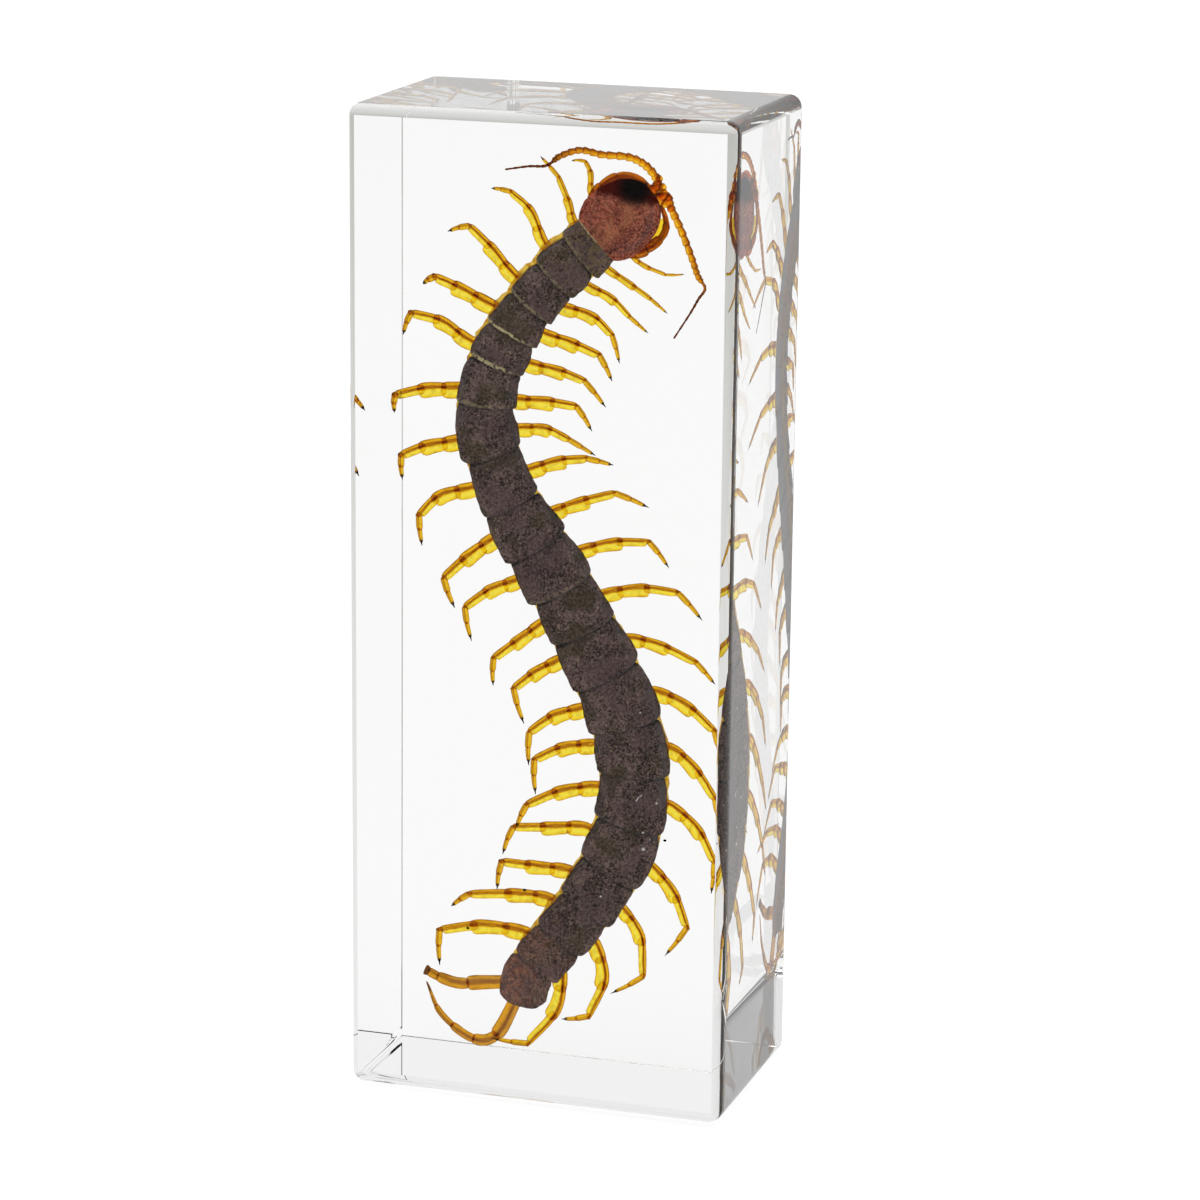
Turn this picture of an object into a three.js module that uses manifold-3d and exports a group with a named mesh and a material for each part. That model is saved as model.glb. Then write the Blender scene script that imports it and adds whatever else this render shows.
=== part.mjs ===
// A centipede cast in a clear resin block.
// Millimetres, +Z up. The origin is the middle of the block's bottom face, and the
// broad face through which the animal's back is seen looks along -Y.
import * as THREE from 'three';
import { RoundedBoxGeometry } from 'three/addons/geometries/RoundedBoxGeometry.js';
import { mergeVertices } from 'three/addons/utils/BufferGeometryUtils.js';
import Module from 'manifold-3d';

// Block
const blockWidth = 43;
const blockDepth = 27;
const blockHeight = 110;
const edgeRadius = 1.5;
const edgeSteps = 2;
const seamGap = 0.3;      // space between the two halves of the block
const pocketGap = 0.35;   // clear space kept round the animal

// The animal lies in an upright plane that is turned about Z by this angle.
// Its own coordinates are across, height and depth behind that plane.
const layTurn = THREE.MathUtils.degToRad(14);

// Middle of each of the 21 trunk segments, from the head to the tail: [across, height]
const trunkMiddles = [
  [5.4, 97.0], [3.0, 95.0], [0.3, 92.7], [-2.5, 89.7], [-4.9, 86.4], [-6.9, 82.8], [-8.4, 78.2],
  [-8.2, 73.7], [-6.7, 68.9], [-4.2, 63.9], [-1.3, 59.4], [1.5, 54.7], [3.9, 50.2], [6.7, 44.7],
  [8.3, 39.3], [8.5, 33.6], [7.2, 27.7], [4.4, 22.6], [1.7, 18.8], [-1.3, 15.0], [-3.7, 12.0],
];
const tailEnd = [-5.0, 9.4];
const neckHalfWidth = 2.9;
const bellyExtraHalfWidth = 1.35;
const widestShift = 1.6;         // above 1, it moves the widest segments towards the tail
const trunkFlatness = 0.45;      // half thickness of the trunk over its half width
const plateFlare = 1.06;         // hind edge of a back plate over the trunk's width
const plateTaper = 0.94;         // front edge of a back plate over the trunk's width
const plateReach = 0.47;         // half length of a back plate, over the segment's length
const trunkPocketFlatness = 0.52;  // as trunkFlatness, for the space round the trunk

// Head plate, poison claws and antennae
const headMiddle = [6.6, 98.2];
const headHalfLength = 4.6;
const headHalfWidth = 3.9;
const headHalfThickness = 2.0;
const headHeading = THREE.MathUtils.degToRad(41);
const clawRadius = 0.95;
const clawTipRadius = 0.35;
const rightClaw = [[8.2, 95.2], [10.3, 95.6], [11.1, 97.2], [10.4, 99.6], [9.6, 101.2]];
const leftClaw = [[3.2, 98.0], [3.9, 100.2], [5.6, 102.1], [7.6, 102.4], [9.3, 101.6]];
const clawDepth = 0.8;
const antennaRadius = 0.5;
const antennaTipRadius = 0.16;
const antennaTipDepth = 0;
const leftAntenna = [[9.4, 100.6], [10.1, 102.3], [8.4, 104.1], [4.8, 104.7], [1.2, 105.0],
  [-1.6, 103.5], [-4.0, 103.2], [-6.4, 102.8]];
const rightAntenna = [[9.8, 100.2], [11.5, 100.4], [12.4, 98.0], [13.6, 95.4], [14.4, 92.9],
  [15.7, 90.7], [14.2, 88.1], [12.4, 85.2]];

// Walking legs, from the first pair to the twentieth. Each row gives the end of the
// thigh, the knee and the claw as across, height, and then how deep the claw hangs.
const rightLegs = [
  [9.2, 92.8, 11.4, 92.0, 13.4, 92.1, 0.4],
  [7.4, 90.9, 9.8, 89.3, 11.6, 87.8, 0.5],
  [5.4, 89.3, 7.5, 87.3, 9.5, 85.6, 0.5],
  [3.4, 87.2, 5.6, 85.2, 6.4, 82.2, 0.6],
  [1.2, 84.2, 4.2, 83.0, 5.6, 80.2, 0.6],
  [-0.2, 81.1, 2.6, 80.1, 4.9, 77.3, 0.7],
  [-1.5, 77.7, 1.7, 77.3, 3.4, 74.6, 0.7],
  [-1.8, 74.7, 0.9, 73.6, 3.8, 71.9, 0.7],
  [-0.2, 71.2, 2.9, 71.6, 5.8, 70.9, 0.7],
  [2.4, 66.8, 6.1, 67.9, 9.8, 66.4, 0.6],
  [6.1, 62.4, 10.0, 62.6, 12.2, 59.8, 0.6],
  [9.2, 57.4, 13.3, 57.1, 16.0, 54.1, 0.6],
  [11.6, 51.0, 15.5, 49.3, 17.6, 46.9, 0.8],
  [14.5, 44.4, 17.7, 41.6, 18.5, 38.2, 1.0],
  [15.6, 37.2, 17.9, 33.8, 18.5, 30.5, 2.0],
  [16.0, 30.3, 18.0, 26.4, 17.8, 22.5, 3.0],
  [13.4, 22.8, 15.0, 18.6, 12.7, 14.9, 3.2],
  [9.7, 17.5, 10.1, 12.5, 6.6, 9.8, 4.2],
  [5.6, 12.2, 3.8, 7.4, 0.9, 6.4, 4.0],
  [0.1, 8.2, -3.3, 3.8, -7.2, 3.8, 3.0],
];
const leftLegs = [
  [3.0, 102.6, 2.4, 103.9, 0.9, 103.9, 0.5],
  [0.6, 99.4, -0.6, 102.2, -2.5, 104.2, 0.8],
  [-3.6, 98.4, -5.9, 100.4, -7.9, 100.6, 1.3],
  [-7.9, 94.2, -10.4, 96.5, -12.7, 95.7, 2.2],
  [-11.4, 89.7, -14.3, 90.8, -15.5, 89.8, 2.7],
  [-13.4, 86.0, -16.9, 86.6, -17.7, 83.8, 3.5],
  [-15.1, 78.6, -18.7, 77.4, -18.7, 75.0, 4.6],
  [-15.2, 72.2, -18.0, 70.7, -17.8, 67.5, 4.6],
  [-13.6, 66.7, -16.0, 64.2, -15.6, 60.5, 4.2],
  [-10.6, 59.9, -13.2, 57.3, -11.9, 53.8, 3.0],
  [-8.0, 56.3, -10.8, 54.2, -10.0, 50.4, 1.4],
  [-4.8, 50.7, -7.5, 48.6, -7.5, 45.5, 0.8],
  [-2.8, 47.2, -5.2, 45.3, -4.0, 41.4, 0.5],
  [-0.6, 42.4, -3.4, 40.4, -3.4, 36.7, 0.3],
  [0.4, 38.8, -2.8, 37.3, -2.6, 33.4, 0.3],
  [0.2, 33.8, -3.6, 31.9, -4.7, 28.9, 2.4],
  [-1.1, 29.6, -5.1, 29.2, -6.2, 25.7, 3.0],
  [-2.7, 25.0, -6.4, 25.0, -6.8, 21.3, 4.2],
  [-5.0, 21.6, -10.2, 21.0, -12.1, 19.0, 4.0],
  [-8.6, 17.7, -13.6, 16.6, -13.5, 12.1, 3.5],
];
const hipReach = 0.55;           // where a leg leaves the trunk, over its half width
const hipDepth = 0.5;
const kneeDrop = 0.4;            // the knee's share of the claw's depth
const hipRadius = 0.55;
const clawEndRadius = 0.14;
const firstLegSize = 0.7;        // the first pair is thinner than the others
const legGrowth = 0.05;          // how much of its full size each leg gains on the one before

// The last pair is longer and thicker, and trails behind the tail
const leftTrailer = [[-5.6, 11.2], [-8.9, 10.9], [-11.4, 10.6], [-13.6, 11.1], [-15.2, 11.8]];
const rightTrailer = [[-4.6, 9.4], [-7.0, 4.8], [-9.9, 4.2], [-13.4, 6.8], [-15.0, 10.2]];
const trailerRadius = 0.85;
const leftTrailerTipRadius = 0.6;
const rightTrailerTipRadius = 0.2;
const trailerDepth = 1.5;

// Facets of the round parts
const legSides = 5;
const trunkSides = 8;
const headSides = 10;
const headRings = 6;
const legPocketSides = 4;
const trunkPocketSides = 6;
const headPocketSides = 8;
const headPocketRings = 5;

// How rounded the curves are: a lower value keeps limbs straight between their joints
const spineTension = 0.5;
const limbTension = 0.4;

const wasm = await Module();
wasm.setup();

// Turns a closed three.js shape into a solid
function solidOf(shape) {
  const bare = shape.index ? shape.toNonIndexed() : shape.clone();
  bare.deleteAttribute('normal');
  bare.deleteAttribute('uv');
  const merged = mergeVertices(bare, 1e-4);
  const mesh = new wasm.Mesh({
    numProp: 3,
    vertProperties: merged.attributes.position.array,
    triVerts: new Uint32Array(merged.index.array),
  });
  return new wasm.Manifold(mesh);
}

// Turns a solid back into a three.js shape
function shapeOf(solid) {
  const mesh = solid.getMesh();
  const shape = new THREE.BufferGeometry();
  shape.setAttribute('position', new THREE.BufferAttribute(mesh.vertProperties, 3));
  shape.setIndex(new THREE.BufferAttribute(mesh.triVerts, 1));
  shape.computeVertexNormals();
  return shape;
}

function joined(shapes) {
  return shapes.map(solidOf).reduce((whole, next) => whole.add(next));
}

// Makes a round bar along a curve, with its rings where ringsAt says, as wide there as
// widthAt says, and its depth squeezed by flatness
function barAlong(curve, ringsAt, widthAt, sides, flatness) {
  const steps = ringsAt.length - 1;
  const bar = new THREE.CylinderGeometry(1, 1, steps, sides, steps);
  const deepAxis = new THREE.Vector3(0, 1, 0);
  const places = bar.attributes.position;
  for (let i = 0; i < places.count; i += 1) {
    const ring = Math.round(places.getY(i) + steps / 2);
    const along = ringsAt[ring];
    const width = widthAt(along, ring);
    const ahead = curve.getTangent(along);
    const sideways = new THREE.Vector3().crossVectors(ahead, deepAxis).normalize();
    const deep = new THREE.Vector3().crossVectors(sideways, ahead);
    const place = curve.getPoint(along)
      .addScaledVector(sideways, places.getX(i) * width)
      .addScaledVector(deep, places.getZ(i) * width * flatness);
    places.setXYZ(i, place.x, place.y, place.z);
  }
  return bar;
}

// Points are [across, height, depth]
function curveThrough(points, tension) {
  const places = points.map(([across, height, depth]) => new THREE.Vector3(across, depth, height));
  return new THREE.CatmullRomCurve3(places, false, 'catmullrom', tension);
}

// How much wider a shape of so many sides is at its corners than at its flats
function cornerReach(sides) {
  return 1 / Math.cos(Math.PI / sides);
}

// A tapering limb with a ring at each of its points
function limb(points, rootRadius, endRadius) {
  const ringsAt = points.map((_, i) => i / (points.length - 1));
  const widthAt = (along) => THREE.MathUtils.lerp(rootRadius, endRadius, along);
  return barAlong(curveThrough(points, limbTension), ringsAt, widthAt, legSides, 1);
}

// The space round a limb
function limbPocket(points, rootRadius, endRadius) {
  const ringsAt = points.map((_, i) => i / (points.length - 1));
  const widthAt = (along) => (THREE.MathUtils.lerp(rootRadius, endRadius, along) + pocketGap)
    * cornerReach(legPocketSides);
  return barAlong(curveThrough(points, limbTension), ringsAt, widthAt, legPocketSides, 1);
}

const spinePoints = [...trunkMiddles, tailEnd].map(([across, height]) => [across, height, 0]);
const spine = curveThrough(spinePoints, spineTension);
const segmentLength = 1 / trunkMiddles.length;

function trunkHalfWidth(along) {
  return neckHalfWidth + bellyExtraHalfWidth * Math.sin(Math.PI * along ** widestShift);
}

// The trunk has two rings for each back plate: a narrow one in front and a wide one behind
function trunk() {
  const ringsAt = [];
  trunkMiddles.forEach((_, number) => {
    ringsAt.push(Math.max(0, (number - plateReach) * segmentLength));
    ringsAt.push((number + plateReach) * segmentLength);
  });
  ringsAt.push(1);
  const plateShape = (ring) => (ring % 2 ? plateFlare : plateTaper);
  const widthAt = (along, ring) => trunkHalfWidth(along) * plateShape(ring);
  return barAlong(spine, ringsAt, widthAt, trunkSides, trunkFlatness);
}

// The space round the trunk has one ring for each segment
function trunkPocket() {
  const ringsAt = [...trunkMiddles, tailEnd].map((_, number) => number * segmentLength);
  const corner = cornerReach(trunkPocketSides);
  const widthAt = (along) => (trunkHalfWidth(along) * plateFlare + pocketGap) * corner;
  return barAlong(spine, ringsAt, widthAt, trunkPocketSides, trunkPocketFlatness);
}

function head(length, thickness, width, sides, rings) {
  const shape = new THREE.SphereGeometry(1, sides, rings);
  shape.scale(length, thickness, width);
  shape.rotateY(-headHeading);
  shape.translate(headMiddle[0], 0, headMiddle[1]);
  return shape;
}

function headPocket() {
  const corner = cornerReach(headPocketSides) * cornerReach(2 * headPocketRings);
  const sizes = [headHalfLength, headHalfThickness, headHalfWidth]
    .map((half) => (half + pocketGap) * corner);
  return head(...sizes, headPocketSides, headPocketRings);
}

function legPoints(row, number, side) {
  const [thighAcross, thighHeight, kneeAcross, kneeHeight, clawAcross, clawHeight, deep] = row;
  const along = number * segmentLength;
  const middle = spine.getPoint(along);
  const ahead = spine.getTangent(along);
  const reach = side * hipReach * trunkHalfWidth(along);
  return [
    [middle.x - ahead.z * reach, middle.z + ahead.x * reach, hipDepth],
    [thighAcross, thighHeight, hipDepth],
    [kneeAcross, kneeHeight, deep * kneeDrop],
    [clawAcross, clawHeight, deep],
  ];
}

// Gives points their depth, from level at the first to depth at the last
function sinking(points, depth) {
  return points.map(([across, height], i) => [across, height, depth * (i / (points.length - 1))]);
}

// Every limb as its points, its radius at the root and its radius at the end
const limbs = [
  [rightClaw.map(([across, height]) => [across, height, clawDepth]), clawRadius, clawTipRadius],
  [leftClaw.map(([across, height]) => [across, height, clawDepth]), clawRadius, clawTipRadius],
  [sinking(leftAntenna, antennaTipDepth), antennaRadius, antennaTipRadius],
  [sinking(rightAntenna, antennaTipDepth), antennaRadius, antennaTipRadius],
  [sinking(leftTrailer, trailerDepth), trailerRadius, leftTrailerTipRadius],
  [sinking(rightTrailer, trailerDepth), trailerRadius, rightTrailerTipRadius],
];
for (const [rows, side] of [[rightLegs, 1], [leftLegs, -1]]) {
  rows.forEach((row, number) => {
    const rootRadius = hipRadius * Math.min(1, firstLegSize + legGrowth * number);
    limbs.push([legPoints(row, number, side), rootRadius, clawEndRadius]);
  });
}

// Cast block with rounded edges, standing on its small end
function blockSolid() {
  const block = new RoundedBoxGeometry(blockWidth, blockDepth, blockHeight, edgeSteps, edgeRadius);
  block.translate(0, 0, blockHeight / 2);
  return solidOf(block);
}

// The half of space on one side of the animal's plane: side is -1 in front, 1 behind
function halfSpace(side) {
  const size = 2 * blockHeight;
  const box = new THREE.BoxGeometry(size, size, size);
  box.translate(0, side * (size + seamGap) / 2, blockHeight / 2);
  box.rotateZ(layTurn);
  return solidOf(box);
}

const chitin = new THREE.MeshStandardMaterial({ color: 0x4a3b36, roughness: 0.55, metalness: 0 });
const resin = new THREE.MeshStandardMaterial({
  color: 0xf4f4f2,
  roughness: 0.03,
  metalness: 0,
  transparent: true,
  opacity: 0.25,
});

const headPlate = head(headHalfLength, headHalfThickness, headHalfWidth, headSides, headRings);
const animal = joined([headPlate, trunk(), ...limbs.map((each) => limb(...each))]);
const pocketParts = [headPocket(), trunkPocket(), ...limbs.map((each) => limbPocket(...each))];
const pocket = solidOf(shapeOf(joined(pocketParts)).rotateZ(layTurn));
const hollowBlock = blockSolid().subtract(pocket);

const model = new THREE.Group();

const centipede = new THREE.Mesh(shapeOf(animal), chitin);
centipede.name = 'centipede';
centipede.rotation.z = layTurn;
model.add(centipede);

for (const [name, side] of [['resin_front', -1], ['resin_back', 1]]) {
  const half = new THREE.Mesh(shapeOf(hollowBlock.intersect(halfSpace(side))), resin.clone());
  half.name = name;
  model.add(half);
}

export default model;
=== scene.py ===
import math
import random

import bmesh
import bpy
from mathutils import Matrix, Vector


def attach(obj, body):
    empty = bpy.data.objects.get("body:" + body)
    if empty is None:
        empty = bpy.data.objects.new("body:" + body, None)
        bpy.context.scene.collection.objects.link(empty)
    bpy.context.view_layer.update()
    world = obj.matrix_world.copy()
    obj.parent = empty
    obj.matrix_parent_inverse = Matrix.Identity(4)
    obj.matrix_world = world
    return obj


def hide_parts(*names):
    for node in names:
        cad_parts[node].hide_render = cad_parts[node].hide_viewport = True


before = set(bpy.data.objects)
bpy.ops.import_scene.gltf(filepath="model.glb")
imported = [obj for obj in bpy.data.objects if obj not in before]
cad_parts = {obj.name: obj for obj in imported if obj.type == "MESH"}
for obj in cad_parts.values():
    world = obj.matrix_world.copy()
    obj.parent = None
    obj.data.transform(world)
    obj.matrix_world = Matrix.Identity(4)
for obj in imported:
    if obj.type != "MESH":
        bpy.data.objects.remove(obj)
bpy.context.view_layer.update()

mm = 0.001
layTurn = math.radians(14)     # the animal's plane is turned about Z by this angle
deepWay = Vector((0, 1, 0))
chance = random.Random(21)
print("frame loaded")


# Colours are picked as they look on a screen, from 0 to 255
def ink(red, green, blue):
    return tuple(((c / 255 + 0.055) / 1.055) ** 2.4 for c in (red, green, blue)) + (1.0,)


def spot(across, height, depth=0.0):
    return Vector((across, depth, height))


def mix(a, b, share):
    return a + (b - a) * share


# A smooth curve through points, read at a place counted in points from the first
def onCurve(points, place):
    index = min(max(int(place), 0), len(points) - 2)
    f = place - index
    p1, p2 = points[index], points[index + 1]
    p0 = points[index - 1] if index > 0 else p1 * 2 - p2
    p3 = points[index + 2] if index + 2 < len(points) else p2 * 2 - p1
    return 0.5 * (p1 * 2 + (p2 - p0) * f + (p0 * 2 - p1 * 5 + p2 * 4 - p3) * f ** 2
                  + (p1 * 3 - p0 - p2 * 3 + p3) * f ** 3)


def headingOn(points, place):
    step = 0.02
    return (onCurve(points, place + step) - onCurve(points, place - step)).normalized()


def show(thing):
    bpy.context.scene.collection.objects.link(thing)
    return thing


def makeObject(name, bm, material):
    mesh = bpy.data.meshes.new(name)
    bm.to_mesh(mesh)
    bm.free()
    mesh.materials.append(material)
    return show(bpy.data.objects.new(name, mesh))


# Makes a piece of the animal. add makes its shape, from what is given
def makePiece(name, material, add, *given):
    bm = bmesh.new()
    bm.verts.layers.float.new("turn")
    bm.verts.layers.float_vector.new("place")
    add(bm, *given)
    bmesh.ops.remove_doubles(bm, verts=bm.verts, dist=1e-5)
    bmesh.ops.recalc_face_normals(bm, faces=bm.faces)
    toBlock = Matrix.Rotation(layTurn, 4, "Z") @ Matrix.Scale(mm, 4)
    bmesh.ops.transform(bm, matrix=toBlock, verts=bm.verts)
    for face in bm.faces:
        face.smooth = True
    piece = makeObject(name, bm, material)
    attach(piece, "root")
    return piece


# The edges between the points of a loop, each once and always in the same order
def loopEdges(loop):
    inLoop = set(loop)
    edges = [edge for vert in loop for edge in vert.link_edges if edge.other_vert(vert) in inLoop]
    return list(dict.fromkeys(edges))


def extrudeLoop(bm, loop):
    made = bmesh.ops.extrude_edge_only(bm, edges=loopEdges(loop))["geom"]
    return [part for part in made if isinstance(part, bmesh.types.BMVert)]


# One closed round body through rings. A ring is its centre, its heading, its half sizes
# (towards headSide, away from it, deep) and two numbers for the material.
def addBody(bm, rings, sides, headSide=1):
    turn = bm.verts.layers.float["turn"]
    place = bm.verts.layers.float_vector["place"]
    loop = bmesh.ops.create_circle(bm, cap_ends=True, segments=sides, radius=1)["verts"]
    for number, vert in enumerate(loop):
        vert[turn] = math.tau * number / sides
    for number, (centre, heading, sizes, told) in enumerate(rings):
        if number:
            loop = extrudeLoop(bm, loop)
        across = heading.cross(deepWay).normalized() * headSide
        deep = heading.cross(across).normalized()
        for vert in loop:
            c, s = math.cos(vert[turn]), math.sin(vert[turn])
            side = sizes[0] if c > 0 else sizes[1]
            vert.co = centre + across * c * side + deep * s * sizes[2]
            vert[place] = (c, told[0], told[1])
    bmesh.ops.contextual_create(bm, geom=loopEdges(loop))


# Materials

def newMaterial(name):
    material = bpy.data.materials.new(name)
    material.use_nodes = True
    tree = material.node_tree
    return material, tree, tree.nodes["Principled BSDF"]


def addNode(tree, kind, **settings):
    made = tree.nodes.new(kind)
    for key, value in settings.items():
        setattr(made, key, value)
    return made


# Gives a socket another node's output, or else a plain value
def feed(tree, socket, given):
    if isinstance(given, bpy.types.NodeSocket):
        tree.links.new(given, socket)
    else:
        socket.default_value = given


def feedAll(tree, node, values):
    for name, given in values.items():
        feed(tree, node.inputs[name], given)


# A ramp is a list of (place, red, green, blue)
def addRamp(tree, factor, stops):
    ramp = addNode(tree, "ShaderNodeValToRGB")
    elements = ramp.color_ramp.elements
    while len(elements) < len(stops):
        elements.new(0.5)
    for element, (place, *colour) in zip(elements, stops):
        element.position = place
        element.color = ink(*colour)
    tree.links.new(factor, ramp.inputs["Fac"])
    return ramp.outputs["Color"]


# Where a value passes from low to high, the result passes softly from toLow to toHigh
def addRange(tree, value, low, high, toLow=0.0, toHigh=1.0):
    made = addNode(tree, "ShaderNodeMapRange", interpolation_type="SMOOTHSTEP")
    feedAll(tree, made, {"Value": value, "From Min": low, "From Max": high, "To Min": toLow,
                         "To Max": toHigh})
    return made.outputs["Result"]


def addColourMix(tree, factor, a, b):
    made = addNode(tree, "ShaderNodeMix", data_type="RGBA")
    for number, given in ((0, factor), (6, a), (7, b)):
        feed(tree, made.inputs[number], given)
    return made.outputs[2]


def addNoise(tree, scale, detail, roughness):
    made = addNode(tree, "ShaderNodeTexNoise")
    where = addNode(tree, "ShaderNodeTexCoord").outputs["Object"]
    feedAll(tree, made, {"Vector": where, "Scale": scale, "Detail": detail, "Roughness": roughness})
    return made.outputs["Fac"]


# A mask of soft blotches, from a noise and the values that it passes between
def addBlotches(tree, noise, window):
    return addRange(tree, addNoise(tree, *noise), *window)


def addMath(tree, operation, *given):
    made = addNode(tree, "ShaderNodeMath", operation=operation)
    for socket, value in zip(made.inputs, given):
        feed(tree, socket, value)
    return made.outputs[0]


def addProduct(tree, product, *factors):
    for factor in factors:
        product = addMath(tree, "MULTIPLY", product, factor)
    return product


# The three numbers that a piece's points carry for its material
def addPlace(tree):
    place = addNode(tree, "ShaderNodeAttribute", attribute_name="place")
    parts = addNode(tree, "ShaderNodeSeparateXYZ")
    tree.links.new(place.outputs["Vector"], parts.inputs["Vector"])
    return parts.outputs["X"], parts.outputs["Y"], parts.outputs["Z"]


# A node group, and the two nodes that stand for its inputs and its outputs
def newGroup(name, inputs, outputs):
    group = bpy.data.node_groups.new(name, "ShaderNodeTree")
    for way, sockets in (("INPUT", inputs), ("OUTPUT", outputs)):
        for socket, kind in sockets.items():
            group.interface.new_socket(socket, in_out=way, socket_type="NodeSocket" + kind)
    return group, addNode(group, "NodeGroupInput"), addNode(group, "NodeGroupOutput")


# The mottled grain of dried cuticle: three sizes of blotch, flecks, and the dots that break up
# a pale rim. Each is a noise (scale, detail, roughness) and its window.
grain = {
    "blotch": ((520, 3, 0.5), (0.36, 0.66)),
    "coarse": ((3800, 3, 0.65), (0.38, 0.63)),
    "fine": ((8200, 2, 0.6), (0.38, 0.62)),
    "fleck": ((3700, 1, 0.5), (0.63, 0.7)),
    "dots": ((2600, 1, 0.5), (0.4, 0.5)),
    "blotchShare": 0.25,
    "coarseShare": 0.45,
    "fineShare": 0.3,
    "contrast": (0.08, 0.92),
    "bumpStrength": 0.6,
}


def makeGrainGroup():
    group, start, end = newGroup(
        "cuticleGrain", {"Dark": "Color", "Pale": "Color", "Fleck": "Color", "Fleck share": "Float"},
        {"Colour": "Color", "Height": "Float", "Dots": "Float"})
    both = addMath(group, "MULTIPLY", addBlotches(group, *grain["blotch"]), grain["blotchShare"])
    for name in ("coarse", "fine"):
        layer = addBlotches(group, *grain[name])
        both = addMath(group, "MULTIPLY_ADD", layer, grain[name + "Share"], both)
    both = addRange(group, both, *grain["contrast"])
    ground = addColourMix(group, both, start.outputs["Dark"], start.outputs["Pale"])
    fleckMask = addBlotches(group, *grain["fleck"])
    fleckShare = addProduct(group, fleckMask, start.outputs["Fleck share"])
    coloured = addColourMix(group, fleckShare, ground, start.outputs["Fleck"])
    feedAll(group, end, {"Colour": coloured, "Height": both,
                         "Dots": addBlotches(group, *grain["dots"])})
    return group


grainGroup = makeGrainGroup()


# Puts the grain on a shader. bump is in millimetres
def addGrain(tree, shader, look):
    made = addNode(tree, "ShaderNodeGroup", node_tree=grainGroup)
    feedAll(tree, made, {"Dark": look["dark"], "Pale": look["pale"], "Fleck": look["fleck"],
                         "Fleck share": look["fleckShare"]})
    bump = addNode(tree, "ShaderNodeBump")
    feedAll(tree, bump, {"Strength": grain["bumpStrength"], "Distance": look["bump"] * mm,
                         "Height": made.outputs["Height"]})
    feedAll(tree, shader, {"Normal": bump.outputs["Normal"], "Roughness": look["roughness"],
                           "IOR": cuticleIor})
    return made.outputs["Colour"], bump.outputs["Normal"], made.outputs["Dots"]


cuticleIor = 1.03              # against the resin, which wets it and hides its shine
resinLook = {
    "ior": 1.55,
    "tint": (0.86, 0.86, 0.86, 1.0),
    "mirror": (0.12, 0.12, 0.12, 1.0),
    "absorbed": (0.86, 0.86, 0.845, 1.0),
    "density": 5.0,
}


def makeResin():
    material, tree, shader = newMaterial("clearResin")
    feedAll(tree, shader, {"Base Color": resinLook["tint"], "Roughness": 0.0,
                           "IOR": resinLook["ior"], "Transmission Weight": 1.0,
                           "Specular Tint": resinLook["mirror"]})
    depth = addNode(tree, "ShaderNodeVolumeAbsorption")
    feedAll(tree, depth, {"Color": resinLook["absorbed"], "Density": resinLook["density"]})
    tree.links.new(depth.outputs["Volume"], tree.nodes["Material Output"].inputs["Volume"])
    return material


airFilm = {
    "ior": 1 / resinLook["ior"],
    "colour": (0.128, 0.126, 0.133, 1.0),
    "roughness": 0.5,
}


# Colours a shader and lays the film of air over it that dry cuticle holds against the resin.
# Seen at a slant, the film is a mirror.
def addAirFilm(tree, shader, colour, normal, share, film):
    tree.links.new(colour, shader.inputs["Base Color"])
    fresnel = addNode(tree, "ShaderNodeFresnel")
    feedAll(tree, fresnel, {"IOR": film["ior"], "Normal": normal})
    glossy = addNode(tree, "ShaderNodeBsdfGlossy")
    feedAll(tree, glossy, {"Color": film["colour"], "Roughness": film["roughness"], "Normal": normal})
    mixer = addNode(tree, "ShaderNodeMixShader")
    tree.links.new(addProduct(tree, fresnel.outputs["Fac"], share), mixer.inputs["Fac"])
    tree.links.new(shader.outputs["BSDF"], mixer.inputs[1])
    tree.links.new(glossy.outputs["BSDF"], mixer.inputs[2])
    tree.links.new(mixer.outputs["Shader"], tree.nodes["Material Output"].inputs["Surface"])


# Windows are (low, high) and then, where given, the results at both
plateLook = {
    "dark": ink(20, 12, 10),
    "pale": ink(150, 126, 118),
    "fleck": ink(186, 166, 142),
    "fleckShare": 0.55,
    "bump": 0.03,
    "roughness": 0.6,
    "cloud": (260, 3, 0.6),
    "plum": ink(96, 76, 80),
    "plumWindow": (0.52, 0.62, 0.0, 0.45),
    "moss": ink(84, 76, 52),
    "mossWindow": (0.48, 0.38, 0.0, 0.45),
    "patches": ((1300, 3, 0.65), (0.4, 0.62)),
    "olive": ink(150, 128, 84),
    "oliveShare": 0.5,
    "tail": ink(206, 136, 108),
    "tailShares": (0.15, 0.55),
    "tailSide": (0.4, -0.5, 0.4, 1.0),
    # painted highlights: pale dotted streaks on the animal's left side of the tail plates
    "paintedHighlight": ink(216, 160, 118),
    "paintedHighlightStreaks": ((1900, 2, 0.5), (0.6, 0.68, 0.0, 0.8)),
    "paintedHighlightSide": (0.1, -0.5),
    "seam": ink(22, 14, 14),
    "seamAlong": (0.12, 0.03),
    "seamTint": (0.8, 0.2, 0.25, 0.85),
    "rim": ink(226, 212, 158),
    "rimAlong": (0.91, 0.95),
    "rimSide": (0.8, 0.1, 0.25, 1.0),
    "filmSide": (0.97, 0.78, 0.15, 1.0),
}


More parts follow.
